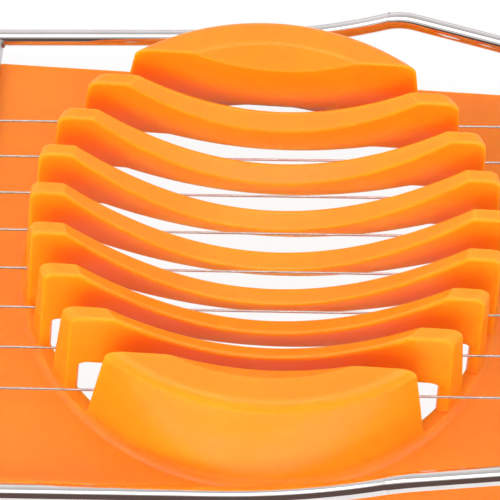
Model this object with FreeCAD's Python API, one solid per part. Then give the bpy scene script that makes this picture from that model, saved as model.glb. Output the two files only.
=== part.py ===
import FreeCAD, Part
import math
import os
from FreeCAD import Vector

# Egg slicer: a moulded tray with a round slotted egg cradle, and a hinged wire bow that closes over it.
# Millimetres. +Z is up, the table is at z = 0, the wires run along X, and the handle points to +X.
# The origin is the middle of the footprint on the table, with the bow standing as it is shown.

# Wires and ribs
wire_count = 8
pitch = 6.4                 # from wire to wire, and from rib to rib
wire_radius = 0.175
wire_drop = 2.1             # a closed wire's axis lies this far below the bottom of the bowl

# Cradle
bowl_depth = 14.1
bowl_margin = 1.7           # rim of the bowl beyond the middle of the first and the last rib
rim_width = 4.4             # flat top between the bowl and the outer wall
rim_round = 0.8             # edge between the bowl and the flat top
shoulder_round = 1.6        # outer edge of the flat top
cradle_wall = 1.5
cradle_draft = 4.4          # degrees, outer wall
rib_top_thickness = 2.0
rib_draft = 2.4             # degrees, each side of a rib
rib_edge_round = 0.4
end_edge_round = 0.25       # on the first and the last rib, whose tips are sharper
bowl_floor = 1.5            # thickness of a rib at the bottom of the bowl
belly_radius = 50.0         # curve of the ribs' underside at its lowest point
belly_drop = 5.4            # the ribs hang this far below the underside of their ends
belly_round = 2.0           # inner corner where the belly meets the underside of the ends
post_round = 1.0            # inner corner where the underside of the ends meets the wall
slot_clearance = 1.2        # the slots run this far below the ribs
slot_step = 0.5             # floor of the slots above the plate
foot_round = 1.4            # flare between the cradle's wall and the plate

# Tray
tray_height = 4.6
plate_thickness = 2.2
skirt_wall = 1.4
tray_corner = 6.0
tray_edge_round = 0.4
side_margin = 0.1           # flat plate between the flare and the rounded side edge
front_margin = 6.3          # tray beyond the front wire bar
hinge_overhang = 11.0       # tray beyond the hinge axis

# Hinge
ear_radius = 4.0
ear_thickness = 5.5
ear_edge_round = 0.6
ear_floor = 1.0             # closed end of a pin's hole
hinge_rise = 1.1            # hinge axis above the plate
pin_clearance = 0.08        # radial
pin_end_gap = 0.3
pin_lead = 0.2              # straight pin between the tray's side and the bend

# Bow, drawn closed with level wires and then opened to the stance in which it is shown
bow_stance = 4.65           # degrees open
rod_radius = 1.25
pin_bend = 3.0              # bend radii are those of the rod's axis
knee_x = 6.6                # from the cradle's middle
knee_rise = 0.8             # above the hinge axis
knee_bend = 150.0
crest_x = 18.5
crest_rise = 5.36
crest_bend = 8.0
handle_length = 24.0        # from the front wire bar to the end of the handle
handle_rise = -1.75
handle_half_width = 29.5
handle_bend = 13.0

# Wire bars, and the ferrules that hold the wires in them
rear_bar_gap = 6.7          # between the cradle's flare and the bar's middle
front_bar_gap = 5.4
rear_bar_to_hinge = 8.0
bar_thickness = 1.2
bar_stop_gap = 0.25         # between the closed bars and the plate
bar_edge = 0.85             # bar above its wires and the rod's axis
weld_sink = 0.15            # the bars' ends are welded this deep into the rod
wire_hole_clearance = 0.05
ferrule_radius = 0.75
ferrule_length = 1.8
ferrule_round = 0.15

# Levels above the table
plate_z = tray_height
under_z = plate_z - plate_thickness
slot_floor_z = plate_z + slot_step
belly_z = slot_floor_z + slot_clearance
bowl_z = belly_z + bowl_floor
top_z = bowl_z + bowl_depth
shoulder_z = belly_z + belly_drop
hinge_z = plate_z + hinge_rise
wire_z = bowl_z - wire_drop

# Radii about the cradle's middle
bowl_rim_radius = wire_count / 2 * pitch + bowl_margin
cradle_top_radius = bowl_rim_radius + rim_width
wall_slope = math.tan(math.radians(cradle_draft))
wall_foot_radius = cradle_top_radius + (top_z - plate_z) * wall_slope
flare_radius = wall_foot_radius + foot_round * math.tan(math.radians(45 - cradle_draft / 2))
belly_rim_radius = math.sqrt(2 * belly_radius * belly_drop)

# Places along X and Y, from the cradle's middle
front_bar_x = flare_radius + front_bar_gap
rear_bar_x = -flare_radius - rear_bar_gap
hinge_x = rear_bar_x - rear_bar_to_hinge
tray_left_x = hinge_x - hinge_overhang
tray_right_x = front_bar_x + front_margin
handle_x = front_bar_x + handle_length
side_y = flare_radius + side_margin + tray_edge_round
rod_y = side_y + pin_lead + pin_bend
pin_hole_depth = ear_thickness - ear_floor

# The origin is in the middle of the whole footprint, from the tray's end to the end of the opened handle
stance = math.radians(bow_stance)
handle_end_x = hinge_x + (handle_x - hinge_x) * math.cos(stance) - handle_rise * math.sin(stance) + rod_radius
cradle_x = -(tray_left_x + handle_end_x) / 2

x_axis = Vector(1, 0, 0)
y_axis = Vector(0, 1, 0)
z_axis = Vector(0, 0, 1)
tolerance = 1e-3            # for telling edges apart


def box(x0, x1, y0, y1, z0, z1):
    return Part.makeBox(x1 - x0, y1 - y0, z1 - z0, Vector(x0, y0, z0))


def rounded_edges(shape, radius, chosen):
    return shape.makeFillet(radius, [edge for edge in shape.Edges if chosen(edge)])


def level_edge(edge, z):
    return abs(edge.BoundBox.ZMin - z) < tolerance and abs(edge.BoundBox.ZMax - z) < tolerance


def upright_edge(edge):
    return edge.BoundBox.XLength < tolerance and edge.BoundBox.YLength < tolerance


def ring_edge(edge, radius, z):
    # True for the circle of this radius about the cradle's middle
    return level_edge(edge, z) and edge.Closed and abs(edge.BoundBox.XMax - radius) < tolerance


def prism_along_x(points, x0, x1):
    outline = [Vector(x0, y, z) for y, z in points]
    face = Part.Face(Part.makePolygon(outline + outline[:1]))
    return face.extrude(Vector(x1 - x0, 0, 0))


def wall_radius(z):
    return cradle_top_radius + (top_z - z) * wall_slope


def parabola(z0, r1, z1):
    # A parabola that starts level on the cradle's axis, to be turned about that axis
    curve = Part.BezierCurve()
    curve.setPoles([Vector(0, 0, z0), Vector(r1 / 2, 0, z0), Vector(r1, 0, z1)])
    return curve.toShape()


def cradle_shell():
    # The round cradle before it is slotted: bowl, flat top, wall and the hollow under them
    inner_foot = wall_radius(under_z) - cradle_wall
    inner_top = wall_radius(shoulder_z) - cradle_wall
    outline = [
        (bowl_rim_radius, top_z),
        (cradle_top_radius, top_z),
        (wall_radius(under_z), under_z),
        (inner_foot, under_z),
        (inner_top, shoulder_z),
        (belly_rim_radius, shoulder_z),
    ]
    corners = [Vector(r, 0, z) for r, z in outline]
    edges = [parabola(bowl_z, bowl_rim_radius, top_z)]
    edges += [Part.LineSegment(a, b).toShape() for a, b in zip(corners, corners[1:])]
    edges.append(parabola(belly_z, belly_rim_radius, shoulder_z))
    edges.append(Part.LineSegment(Vector(0, 0, belly_z), Vector(0, 0, bowl_z)).toShape())
    profile = Part.Face(Part.Wire(Part.sortEdges(edges)[0]))
    shell = profile.revolve(Vector(0, 0, 0), z_axis, 360)
    rounds = [
        (bowl_rim_radius, top_z, rim_round),
        (cradle_top_radius, top_z, shoulder_round),
        (inner_top, shoulder_z, post_round),
        (belly_rim_radius, shoulder_z, belly_round),
    ]
    for r, z, radius in rounds:
        shell = rounded_edges(shell, radius, lambda e: ring_edge(e, r, z))
    return shell


def wire_y(number):
    # Wires are numbered from the far side, as the ribs are
    return ((wire_count + 1) / 2 - number) * pitch


def slot_half(z):
    return (pitch - rib_top_thickness) / 2 - (top_z - z) * math.tan(math.radians(rib_draft))


def slot(number):
    # The gap for one wire, narrower towards its floor because the ribs are drafted
    y = wire_y(number)
    reach = flare_radius
    low, high = slot_floor_z, top_z + rim_width
    near_side = [(y - slot_half(high), high), (y - slot_half(low), low)]
    far_side = [(y + slot_half(low), low), (y + slot_half(high), high)]
    return prism_along_x(near_side + far_side, -reach, reach)


def rib_edge(body, edge):
    # True for an edge between a flat side of a rib and the cradle's turned faces
    extent = edge.BoundBox
    if extent.ZMin < slot_floor_z - tolerance or level_edge(edge, slot_floor_z):
        return False
    if math.hypot(extent.Center.x, extent.Center.y) > (wall_foot_radius + flare_radius) / 2:
        return False
    faces = body.ancestorsOfType(edge, Part.Face)
    sides = [f for f in faces if isinstance(f.Surface, Part.Plane) and abs(f.normalAt(0, 0).y) > 0.9]
    return len(sides) == 1


def rib_number(edge):
    return round(wire_count / 2 - edge.BoundBox.Center.y / pitch)


def rounded_ribs(body):
    inner_ribs = range(1, wire_count)
    end_ribs = (0, wire_count)
    for numbers, radius in ((inner_ribs, rib_edge_round), (end_ribs, end_edge_round)):
        body = rounded_edges(body, radius, lambda e: rib_edge(body, e) and rib_number(e) in numbers)
    body.fix(tolerance, tolerance, tolerance)
    return body


def tray():
    block = box(tray_left_x, tray_right_x, -side_y, side_y, 0, plate_z)
    block = rounded_edges(block, tray_corner, upright_edge)
    block = rounded_edges(block, tray_edge_round, lambda e: level_edge(e, plate_z))
    inner_y = side_y - skirt_wall
    hollow = box(tray_left_x + skirt_wall, tray_right_x - skirt_wall, -inner_y, inner_y, 0, under_z)
    hollow = rounded_edges(hollow, tray_corner - skirt_wall, upright_edge)
    well = Part.makeCylinder(wall_radius(plate_z) - cradle_wall / 2, plate_z)
    return block.cut([hollow, well])


def ear(side):
    # One hinge ear on the plate; side is 1 on the far side and -1 on the near side
    y0 = min(side * side_y, side * (side_y - ear_thickness))
    corners = [
        Vector(hinge_x - ear_radius, y0, hinge_z),
        Vector(hinge_x - ear_radius, y0, under_z),
        Vector(hinge_x + ear_radius, y0, under_z),
        Vector(hinge_x + ear_radius, y0, hinge_z),
    ]
    edges = [Part.LineSegment(a, b).toShape() for a, b in zip(corners, corners[1:])]
    edges.append(Part.Arc(corners[3], Vector(hinge_x, y0, hinge_z + ear_radius), corners[0]).toShape())
    block = Part.Face(Part.Wire(edges)).extrude(y_axis * ear_thickness)
    return rounded_edges(block, ear_edge_round,
                         lambda e: e.BoundBox.YLength < tolerance and not level_edge(e, under_z))


def pin_hole(side):
    start = Vector(hinge_x, side * rod_y, hinge_z)
    length = rod_y - side_y + pin_hole_depth
    return Part.makeCylinder(rod_radius + pin_clearance, length, start, y_axis * -side)


def base():
    # One moulding: the tray, the cradle and the hinge ears
    body = tray().fuse([cradle_shell(), ear(1), ear(-1)]).removeSplitter()
    body = rounded_edges(body, foot_round, lambda e: ring_edge(e, wall_foot_radius, plate_z))
    cuts = [pin_hole(side) for side in (1, -1)] + [slot(number) for number in range(1, wire_count + 1)]
    return rounded_ribs(body.cut(cuts))


def rounded_path(points, bends):
    # Straight runs joined by tangent arcs; a bend is limited by the runs beside it
    edges = []
    start = points[0]
    for before, corner, after, bend in zip(points, points[1:], points[2:], bends):
        back = (before - corner).normalize()
        ahead = (after - corner).normalize()
        half_turn = (math.pi - back.getAngle(ahead)) / 2
        room = 0.9 * min((before - corner).Length, (after - corner).Length)
        tangent = min(bend * math.tan(half_turn), room)
        radius = tangent / math.tan(half_turn)
        inward = (back + ahead).normalize()
        middle = corner + inward * (radius / math.cos(half_turn) - radius)
        arc_start = corner + back * tangent
        arc_end = corner + ahead * tangent
        edges.append(Part.LineSegment(start, arc_start).toShape())
        edges.append(Part.Arc(arc_start, middle, arc_end).toShape())
        start = arc_end
    edges.append(Part.LineSegment(start, points[-1]).toShape())
    return Part.Wire(edges)


def bow_rod():
    half = [
        Vector(hinge_x, side_y - pin_hole_depth + pin_end_gap, hinge_z),
        Vector(hinge_x, rod_y, hinge_z),
        Vector(knee_x, rod_y, hinge_z + knee_rise),
        Vector(crest_x, rod_y, hinge_z + crest_rise),
        Vector(handle_x, handle_half_width, hinge_z + handle_rise),
    ]
    other_half = [Vector(point.x, -point.y, point.z) for point in reversed(half)]
    bends = [pin_bend, knee_bend, crest_bend, handle_bend]
    path = rounded_path(half + other_half, bends + bends[::-1])
    section = Part.Wire(Part.makeCircle(rod_radius, half[0], y_axis))
    return path.makePipeShell([section], True, False)


def rod_place(x):
    # Height and half width of a side rod's axis at x, on the straight runs where the bars are welded
    if x < knee_x:
        share = (x - hinge_x) / (knee_x - hinge_x)
        return hinge_z + share * knee_rise, rod_y
    share = (x - crest_x) / (handle_x - crest_x)
    rise = crest_rise + share * (handle_rise - crest_rise)
    return hinge_z + rise, rod_y + share * (handle_half_width - rod_y)


def wire_bar(x):
    # A steel strip on edge, welded between the two side rods and drilled for the wires
    rod_z, half_width = rod_place(x)
    low = plate_z + bar_stop_gap
    high = max(rod_z, wire_z) + bar_edge
    half = half_width - rod_radius + weld_sink
    strip = box(x - bar_thickness / 2, x + bar_thickness / 2, -half, half, low, high)
    radius = wire_radius + wire_hole_clearance
    holes = [
        Part.makeCylinder(radius, bar_thickness, Vector(x - bar_thickness / 2, wire_y(n), wire_z), x_axis)
        for n in range(1, wire_count + 1)
    ]
    return strip.cut(holes)


def cutting_wire(number):
    tail = bar_thickness / 2 + ferrule_length
    length = front_bar_x - rear_bar_x + 2 * tail
    start = Vector(rear_bar_x - tail, wire_y(number), wire_z)
    return Part.makeCylinder(wire_radius, length, start, x_axis)


def ferrule(bar_x, outward, number):
    # A crimped sleeve on the wire, drawn up against the outer face of its bar
    start = Vector(bar_x + outward * bar_thickness / 2, wire_y(number), wire_z)
    sleeve = Part.makeCylinder(ferrule_radius, ferrule_length, start, x_axis * outward)
    sleeve = sleeve.makeFillet(ferrule_round, [e for e in sleeve.Edges if e.Closed])
    return sleeve.cut(Part.makeCylinder(wire_radius, ferrule_length, start, x_axis * outward))


def opened(piece):
    # Turn a piece of the closed bow about the hinge, into the stance in which it is shown
    return piece.rotated(Vector(hinge_x, 0, hinge_z), y_axis, -bow_stance)


nodes = {
    "base": base(),
    "bow_rod": opened(bow_rod()),
    "rear_wire_bar": opened(wire_bar(rear_bar_x)),
    "front_wire_bar": opened(wire_bar(front_bar_x)),
}
for number in range(1, wire_count + 1):
    nodes[f"cutting_wire_{number}"] = opened(cutting_wire(number))
    nodes[f"rear_ferrule_{number}"] = opened(ferrule(rear_bar_x, -1, number))
    nodes[f"front_ferrule_{number}"] = opened(ferrule(front_bar_x, 1, number))

os.makedirs("parts", exist_ok=True)
for name, shape in nodes.items():
    placed = shape.translated(Vector(cradle_x, 0, 0))
    placed.exportStep(f"parts/{name}.step")
    reach = placed.BoundBox
    print(f"{name}: {len(placed.Solids)} solid, valid {placed.isValid()}, {placed.Volume:.2f} mm3,",
          f"X {reach.XMin:.2f} to {reach.XMax:.2f}, Y {reach.YMin:.2f} to {reach.YMax:.2f},",
          f"Z {reach.ZMin:.2f} to {reach.ZMax:.2f}")
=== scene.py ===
import math

import bmesh
import bpy
from mathutils import Matrix, Vector


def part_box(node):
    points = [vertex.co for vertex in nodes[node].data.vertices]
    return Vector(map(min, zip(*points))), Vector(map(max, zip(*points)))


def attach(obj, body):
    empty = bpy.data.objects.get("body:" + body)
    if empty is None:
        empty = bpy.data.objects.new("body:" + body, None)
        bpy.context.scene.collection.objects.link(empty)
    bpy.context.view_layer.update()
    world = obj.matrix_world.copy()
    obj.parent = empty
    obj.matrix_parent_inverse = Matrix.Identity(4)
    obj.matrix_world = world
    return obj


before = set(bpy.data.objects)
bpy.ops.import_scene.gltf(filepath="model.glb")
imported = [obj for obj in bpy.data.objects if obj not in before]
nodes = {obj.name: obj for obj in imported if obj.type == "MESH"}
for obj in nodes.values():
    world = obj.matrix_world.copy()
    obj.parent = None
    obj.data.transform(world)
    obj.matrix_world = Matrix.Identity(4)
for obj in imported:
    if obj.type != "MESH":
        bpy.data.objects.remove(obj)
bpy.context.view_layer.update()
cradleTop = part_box("base")[1][2]
scene = bpy.context.scene
print("frame loaded:", len(nodes), "nodes")


# camera
cameraSet = {
    "target": (-0.00453, -0.00805),  # the point at the middle of the picture, on the cradle's top
    "azimuth": 1.127,                # degrees, turned from looking along +Y
    "elevation": 55.646,
    "roll": 4.483,
    "distance": 0.26414,
    "lens": 145.73,                  # mm
    "sensor": 36,                    # mm
    "nearest": 0.01,                 # nothing closer than this is drawn
}


def makeCamera(s):
    azimuth, elevation = math.radians(s["azimuth"]), math.radians(s["elevation"])
    aim = Vector((
        math.sin(azimuth) * math.cos(elevation),
        math.cos(azimuth) * math.cos(elevation),
        -math.sin(elevation),
    ))
    data = bpy.data.cameras.new("camera")
    data.sensor_width = s["sensor"]
    data.lens = s["lens"]
    data.clip_start = s["nearest"]
    camera = bpy.data.objects.new("camera", data)
    turn = aim.to_track_quat("-Z", "Y").to_matrix().to_4x4()
    target = Vector((*s["target"], cradleTop))
    place = Matrix.Translation(target - aim * s["distance"])
    camera.matrix_world = place @ turn @ Matrix.Rotation(math.radians(s["roll"]), 4, "Z")
    scene.collection.objects.link(camera)
    scene.camera = camera


makeCamera(cameraSet)
print("camera placed")


# shared node helpers
def newMaterial(name):
    material = bpy.data.materials.new(name)
    material.use_nodes = True
    tree = material.node_tree
    return material, tree, tree.nodes["Principled BSDF"]


def setInputs(node, values):
    for key, value in values.items():
        node.inputs[key].default_value = value


def addNode(tree, kind, values=None, **settings):
    node = tree.nodes.new(kind)
    for key, value in settings.items():
        setattr(node, key, value)
    setInputs(node, values or {})
    return node


def newGroup(name, inputs, outputs):
    group = bpy.data.node_groups.new(name, "ShaderNodeTree")
    for socketName, value in inputs.items():
        kind = "NodeSocketVector" if isinstance(value, tuple) else "NodeSocketFloat"
        socket = group.interface.new_socket(socketName, in_out="INPUT", socket_type=kind)
        socket.default_value = value
    for socketName in outputs:
        group.interface.new_socket(socketName, in_out="OUTPUT", socket_type="NodeSocketFloat")
    return group, group.nodes.new("NodeGroupInput"), group.nodes.new("NodeGroupOutput")


# cloudy patches, for uneven colour and gloss; Stretch draws them out along an axis
cloudSet = {
    "inputs": {"Stretch": (1.0, 1.0, 1.0), "Scale": 100.0, "Low": 0.4, "High": 0.6},
    "noise": {"Detail": 3.0, "Roughness": 0.55},
}


def makeCloudGroup(s):
    group, given, result = newGroup("cloudPatches", s["inputs"], ["Mask"])
    place = addNode(group, "ShaderNodeTexCoord")
    draw = addNode(group, "ShaderNodeVectorMath", operation="MULTIPLY")
    noise = addNode(group, "ShaderNodeTexNoise", s["noise"])
    mask = addNode(group, "ShaderNodeMapRange", interpolation_type="SMOOTHSTEP")
    link = group.links.new
    link(place.outputs["Object"], draw.inputs[0])
    link(given.outputs["Stretch"], draw.inputs[1])
    link(draw.outputs[0], noise.inputs["Vector"])
    link(given.outputs["Scale"], noise.inputs["Scale"])
    link(noise.outputs["Fac"], mask.inputs["Value"])
    link(given.outputs["Low"], mask.inputs["From Min"])
    link(given.outputs["High"], mask.inputs["From Max"])
    link(mask.outputs["Result"], result.inputs["Mask"])
    return group


cloudGroup = makeCloudGroup(cloudSet)


def addCloud(tree, values):
    return addNode(tree, "ShaderNodeGroup", values, node_tree=cloudGroup).outputs["Mask"]


def addMix(tree, mask, first, second):
    mix = addNode(tree, "ShaderNodeMix", data_type="RGBA")
    tree.links.new(mask, mix.inputs[0])
    for socket, colour in ((mix.inputs[6], first), (mix.inputs[7], second)):
        if isinstance(colour, tuple):
            socket.default_value = colour
        else:
            tree.links.new(colour, socket)
    return mix.outputs[2]


def addRange(tree, value, start, end, first, last, kind="LINEAR"):
    values = {"From Min": start, "From Max": end, "To Min": first, "To Max": last}
    spread = addNode(tree, "ShaderNodeMapRange", values, interpolation_type=kind)
    tree.links.new(value, spread.inputs["Value"])
    return spread.outputs["Result"]


def addBump(tree, height, distance, shader):
    bump = addNode(tree, "ShaderNodeBump", {"Strength": 1.0, "Distance": distance})
    tree.links.new(height, bump.inputs["Height"])
    tree.links.new(bump.outputs["Normal"], shader.inputs["Normal"])


# orange plastic; the plate painted darker and redder than the cradle as painted shade, and a painted glow,
# yellower low on the ribs, where light comes through from below
plasticSet = {
    "shader": {
        "Subsurface Weight": 1,
        "Subsurface Radius": (1.0, 0.42, 0.1),
        "Subsurface Scale": 0.0055,
        "Specular IOR Level": 0.42,
    },
    "colour": (0.98, 0.27, 0.006, 1),
    "deepColour": (0.97, 0.248, 0.005, 1),
    # painted shade: the plate darker and redder than the cradle
    "shadedPlateColour": (0.98, 0.225, 0.012, 1),
    # painted glow: a lighter, yellower colour low on the ribs, for light coming through from below
    "paintedGlowColour": (0.99, 0.33, 0.012, 1),
    "cradleMiddle": (-0.00236, 0, 0),
    "cradleHeight": 0.0173,         # the cradle's top above the plate
    "plateShadeFade": 0.0035,            # height over which the plate's painted shade fades into the cradle's colour
    "paintedGlowReach": (0.024, 0.031),    # from the cradle's middle, where the painted glow fades out
    "paintedGlowHeight": (0.0015, 0.007),  # above the plate, where the painted glow fades out
    "blotch": {"Scale": 55.0, "Low": 0.3, "High": 0.7},
    "smudge": {"Scale": 220.0, "Low": 0.35, "High": 0.65},
    "gloss": (0.3, 0.4),            # least and most roughness
    "grain": {"Scale": 5200.0, "Low": 0.2, "High": 0.8},
    "grainDepth": 0.0000035,
}


# mask of the painted glow, low on the ribs near the cradle's middle
def addPaintedGlowMask(tree, place, abovePlate, s):
    flat = addNode(tree, "ShaderNodeVectorMath", {1: (1, 1, 0)}, operation="MULTIPLY")
    reach = addNode(tree, "ShaderNodeVectorMath", {1: s["cradleMiddle"]}, operation="DISTANCE")
    both = addNode(tree, "ShaderNodeMath", operation="MULTIPLY")
    link = tree.links.new
    link(place, flat.inputs[0])
    link(flat.outputs[0], reach.inputs[0])
    link(addRange(tree, reach.outputs["Value"], *s["paintedGlowReach"], 1, 0, "SMOOTHSTEP"), both.inputs[0])
    link(addRange(tree, abovePlate, *s["paintedGlowHeight"], 1, 0, "SMOOTHSTEP"), both.inputs[1])
    return both.outputs[0]


def makePlastic(s):
    material, tree, shader = newMaterial("orange_plastic")
    setInputs(shader, s["shader"])
    link = tree.links.new
    place = addNode(tree, "ShaderNodeTexCoord").outputs["Object"]
    split = addNode(tree, "ShaderNodeSeparateXYZ")
    plateTop = cradleTop - s["cradleHeight"]
    above = addNode(tree, "ShaderNodeMath", {1: plateTop}, operation="SUBTRACT")
    link(place, split.inputs[0])
    link(split.outputs["Z"], above.inputs[0])
    abovePlate = above.outputs[0]
    cradle = addMix(tree, addCloud(tree, s["blotch"]), s["colour"], s["deepColour"])
    # painted shade on the plate, fading into the cradle's colour above it
    low = addRange(tree, abovePlate, 0, s["plateShadeFade"], 1, 0, "SMOOTHSTEP")
    body = addMix(tree, low, cradle, s["shadedPlateColour"])
    # painted glow laid over the body colour, low on the ribs
    paintedGlowMask = addPaintedGlowMask(tree, place, abovePlate, s)
    link(addMix(tree, paintedGlowMask, body, s["paintedGlowColour"]), shader.inputs["Base Color"])
    link(addRange(tree, addCloud(tree, s["smudge"]), 0, 1, *s["gloss"]), shader.inputs["Roughness"])
    addBump(tree, addCloud(tree, s["grain"]), s["grainDepth"], shader)
    return material


# steels; the marks are drawn out along the way that the stock was drawn, ground or crimped
steelSets = {
    "chromed_rod": {
        "colour": (0.83, 0.79, 0.78, 1),
        "dull": (0.78, 0.74, 0.73, 1),
        "gloss": (0.05, 0.13),
        "marks": {"Stretch": (1.0, 1.0, 1.0), "Scale": 220.0, "Low": 0.35, "High": 0.65},
        "depth": 0.0000008,
    },
    "bar_steel": {
        "colour": (0.6, 0.6, 0.6, 1),
        "dull": (0.5, 0.5, 0.5, 1),
        "gloss": (0.22, 0.42),
        "marks": {"Stretch": (1.0, 0.04, 1.0), "Scale": 3800.0, "Low": 0.35, "High": 0.65},
        "depth": 0.000004,
    },
    "wire_steel": {
        "colour": (0.74, 0.7, 0.69, 1),
        "dull": (0.6, 0.57, 0.56, 1),
        "gloss": (0.22, 0.38),
        "marks": {"Stretch": (0.03, 1.0, 1.0), "Scale": 9000.0, "Low": 0.35, "High": 0.65},
        "depth": 0.000002,
    },
    "weld_steel": {
        "colour": (0.5, 0.47, 0.44, 1),
        "dull": (0.34, 0.31, 0.3, 1),
        "gloss": (0.25, 0.5),
        "marks": {"Stretch": (1.0, 1.0, 1.0), "Scale": 1800.0, "Low": 0.35, "High": 0.65},
        "depth": 0.00001,
    },
    "ferrule_steel": {
        "colour": (0.66, 0.66, 0.65, 1),
        "dull": (0.52, 0.52, 0.51, 1),
        "gloss": (0.2, 0.4),
        "marks": {"Stretch": (0.35, 1.0, 1.0), "Scale": 3000.0, "Low": 0.35, "High": 0.65},
        "depth": 0.00001,
    },
}


def makeSteel(name, s):
    material, tree, shader = newMaterial(name)
    shader.inputs["Metallic"].default_value = 1
    marks = addCloud(tree, s["marks"])
    tree.links.new(addMix(tree, marks, s["colour"], s["dull"]), shader.inputs["Base Color"])
    tree.links.new(addRange(tree, marks, 0, 1, *s["gloss"]), shader.inputs["Roughness"])
    addBump(tree, marks, s["depth"], shader)
    return material


finishes = {"orange_plastic": makePlastic(plasticSet)}
for finishName, finishValues in steelSets.items():
    finishes[finishName] = makeSteel(finishName, finishValues)

# words in the nodes' names, and the finish that each calls for
finishWords = {
    "base": "orange_plastic",
    "bow_rod": "chromed_rod",
    "wire_bar": "bar_steel",
    "cutting_wire": "wire_steel",
    "ferrule": "ferrule_steel",
}
for nodeName, piece in nodes.items():
    piece.data.materials.clear()
    for word, finishName in finishWords.items():
        if word in nodeName:
            piece.data.materials.append(finishes[finishName])
print("finishes on every node")


# weld beads where the wire bars' ends meet the rod, one on each face of the bar
weldSet = {
    "bars": {"rearWeld": "rear_wire_bar", "frontWeld": "front_wire_bar"},
    "sides": {"Near": -1, "Far": 1},  # along Y
    "radius": 0.0004,
    "length": 0.0015,
    "ripples": 4,
    "rippleDepth": 0.12,              # share of the radius
    "drop": 0.00085,                  # the rod's axis below the bar's upper edge
    "sink": 0.00015,                  # the bar's end inside the rod
    "rings": 24,
    "turns": 20,                      # facets round a bead
    "same": 1e-6,                     # points closer than this to the bar's end are on it
    "merge": 1e-7,
}


# the mesh is loose triangles, so a corner comes several times and is kept once
def endCorners(bar, side, same):
    places = [bar.matrix_world @ vertex.co for vertex in bar.data.vertices]
    reach = max(place.y * side for place in places)
    return {place.to_tuple(7): place for place in places if place.y * side > reach - same}.values()


def addBead(bm, middle, up, s):
    across = Vector((1, 0, 0))
    row = []
    for ring in range(s["rings"] + 1):
        share = ring / s["rings"]
        swell = math.sqrt(max(0, 1 - (2 * share - 1) ** 2))
        ripple = 1 + s["rippleDepth"] * math.cos(2 * math.pi * s["ripples"] * share)
        along = up * (share - 0.5) * s["length"]
        row.append(bm.verts.new(middle + along + across * swell * ripple * s["radius"]))
    edges = [bm.edges.new(pair) for pair in zip(row, row[1:])]
    bmesh.ops.spin(
        bm, geom=row + edges, cent=middle, axis=up, angle=2 * math.pi, steps=s["turns"], use_merge=True)


def makeWeld(name, bar, side, s):
    mesh = bpy.data.meshes.new(name)
    bm = bmesh.new()
    corners = sorted(endCorners(bar, side, s["same"]), key=lambda place: place.x)
    for face in (corners[:2], corners[2:]):
        low, high = sorted(face, key=lambda place: place.z)
        up = (high - low).normalized()
        middle = high - up * s["drop"]
        middle.y -= side * s["sink"]
        addBead(bm, middle, up, s)
    bmesh.ops.remove_doubles(bm, verts=bm.verts, dist=s["merge"])
    bmesh.ops.recalc_face_normals(bm, faces=bm.faces)
    for face in bm.faces:
        face.smooth = True
    bm.to_mesh(mesh)
    bm.free()
    mesh.materials.append(finishes["weld_steel"])
    weld = bpy.data.objects.new(name, mesh)
    scene.collection.objects.link(weld)
    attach(weld, "bow")


for weldName, barName in weldSet["bars"].items():
    for sideName, side in weldSet["sides"].items():
        makeWeld(weldName + sideName, nodes[barName], side, weldSet)
print("weld beads set")


# floor and backdrop, white to the camera and in reflections
stageSet = {
    "floorSize": 3.0,
    "floorColour": (0.9, 0.9, 0.9, 1),
    "floorRoughness": 0.9,
    "glow": 0.92,               # share of the floor's picture that is plain white, the rest keeps the shadow
    "white": (1, 1, 1, 1),
    "worldStrength": 0.95,
    "overhead": 0.55,           # grey that the white backdrop fades to straight above
    "fade": (0.4, 0.95),        # heights on a ball of radius 1 between which it fades
}


def addSeenRays(tree):
    path = addNode(tree, "ShaderNodeLightPath")
    seen = path.outputs["Is Camera Ray"]
    for rays in ("Is Glossy Ray", "Is Transmission Ray"):
        either = addNode(tree, "ShaderNodeMath", operation="MAXIMUM")
        tree.links.new(seen, either.inputs[0])
        tree.links.new(path.outputs[rays], either.inputs[1])
        seen = either.outputs[0]
    return seen


def makeFloor(s):
    mesh = bpy.data.meshes.new("floor")
    bm = bmesh.new()
    bmesh.ops.create_grid(bm, x_segments=1, y_segments=1, size=s["floorSize"] / 2)
    bm.to_mesh(mesh)
    bm.free()
    floor = bpy.data.objects.new("floor", mesh)
    scene.collection.objects.link(floor)
    material, tree, shader = newMaterial("floor_paper")
    setInputs(shader, {"Base Color": s["floorColour"], "Roughness": s["floorRoughness"]})
    share = addNode(tree, "ShaderNodeMath", {1: s["glow"]}, operation="MULTIPLY")
    glow = addNode(tree, "ShaderNodeEmission", {"Color": s["white"], "Strength": 1})
    mix = addNode(tree, "ShaderNodeMixShader")
    link = tree.links.new
    link(addSeenRays(tree), share.inputs[0])
    link(share.outputs[0], mix.inputs[0])
    link(shader.outputs[0], mix.inputs[1])
    link(glow.outputs[0], mix.inputs[2])
    link(mix.outputs[0], tree.nodes["Material Output"].inputs["Surface"])
    mesh.materials.append(material)


def makeWorld(s):
    world = bpy.data.worlds.new("studio")
    scene.world = world
    world.use_nodes = True
    tree = world.node_tree
    light = tree.nodes["Background"]
    setInputs(light, {"Color": s["white"], "Strength": s["worldStrength"]})
    backdrop = addNode(tree, "ShaderNodeBackground", {"Strength": 1.0})
    way = addNode(tree, "ShaderNodeTexCoord")
    split = addNode(tree, "ShaderNodeSeparateXYZ")
    mix = addNode(tree, "ShaderNodeMixShader")
    link = tree.links.new
    link(way.outputs["Generated"], split.inputs[0])
    link(addRange(tree, split.outputs["Z"], *s["fade"], 1, s["overhead"]), backdrop.inputs["Color"])
    link(addSeenRays(tree), mix.inputs[0])
    link(light.outputs[0], mix.inputs[1])
    link(backdrop.outputs[0], mix.inputs[2])
    link(mix.outputs[0], tree.nodes["World Output"].inputs["Surface"])


makeFloor(stageSet)
makeWorld(stageSet)


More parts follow.
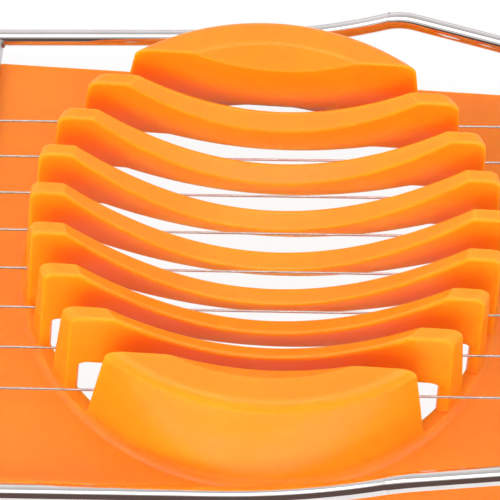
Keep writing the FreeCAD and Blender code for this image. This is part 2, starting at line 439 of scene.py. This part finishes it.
# lamps, aimed at the origin; one without shine isn't seen in reflections
lampSet = {
    "topLamp": {"place": (0.0, -0.12, 0.85), "size": (1.4, 0.45), "power": 3.0, "shine": True},
    "frontLamp": {"place": (-0.2, -0.75, 0.45), "size": (0.6, 0.5), "power": 5.4, "shine": False},
}


def makeLamp(name, s):
    data = bpy.data.lights.new(name, "AREA")
    data.shape = "RECTANGLE"
    data.size, data.size_y = s["size"]
    data.energy = s["power"]
    lamp = bpy.data.objects.new(name, data)
    lamp.visible_glossy = s["shine"]
    aim = -Vector(s["place"])
    turn = aim.to_track_quat("-Z", "Y").to_matrix().to_4x4()
    lamp.matrix_world = Matrix.Translation(s["place"]) @ turn
    scene.collection.objects.link(lamp)


for lampName, lampValues in lampSet.items():
    makeLamp(lampName, lampValues)


# upright cards that only reflections see, so that the bright rods keep dark lines against the white
flagSet = {
    "frontFlag": {
        "place": (0.0, -0.13), "turn": 0, "width": 0.6, "height": 0.16, "colour": (0.13, 0.085, 0.075, 1)},
    "backFlag": {
        "place": (0.0, 0.4), "turn": 0, "width": 0.9, "height": 0.05, "colour": (0.22, 0.22, 0.24, 1)},
    "leftFlag": {
        "place": (-0.4, 0.0), "turn": 90, "width": 0.9, "height": 0.06, "colour": (0.18, 0.17, 0.17, 1)},
    "rightFlag": {
        "place": (0.4, 0.0), "turn": 90, "width": 0.9, "height": 0.06, "colour": (0.18, 0.17, 0.17, 1)},
}


def makeFlag(name, s):
    mesh = bpy.data.meshes.new(name)
    bm = bmesh.new()
    bmesh.ops.create_grid(bm, x_segments=1, y_segments=1, size=0.5)
    bmesh.ops.rotate(bm, verts=bm.verts, matrix=Matrix.Rotation(math.radians(90), 3, "X"))
    bmesh.ops.scale(bm, verts=bm.verts, vec=(s["width"], 1, s["height"]))
    bmesh.ops.rotate(bm, verts=bm.verts, matrix=Matrix.Rotation(math.radians(s["turn"]), 3, "Z"))
    bmesh.ops.translate(bm, verts=bm.verts, vec=(*s["place"], s["height"] / 2))
    bm.to_mesh(mesh)
    bm.free()
    flag = bpy.data.objects.new(name, mesh)
    flag.visible_camera = False
    flag.visible_diffuse = False
    flag.visible_shadow = False
    scene.collection.objects.link(flag)
    material, tree, shader = newMaterial(name)
    card = addNode(tree, "ShaderNodeEmission", {"Color": s["colour"], "Strength": 1})
    tree.links.new(card.outputs[0], tree.nodes["Material Output"].inputs["Surface"])
    tree.nodes.remove(shader)
    mesh.materials.append(material)


for flagName, flagValues in flagSet.items():
    makeFlag(flagName, flagValues)
scene.view_settings.view_transform = "Standard"
print("stage and lamps set")
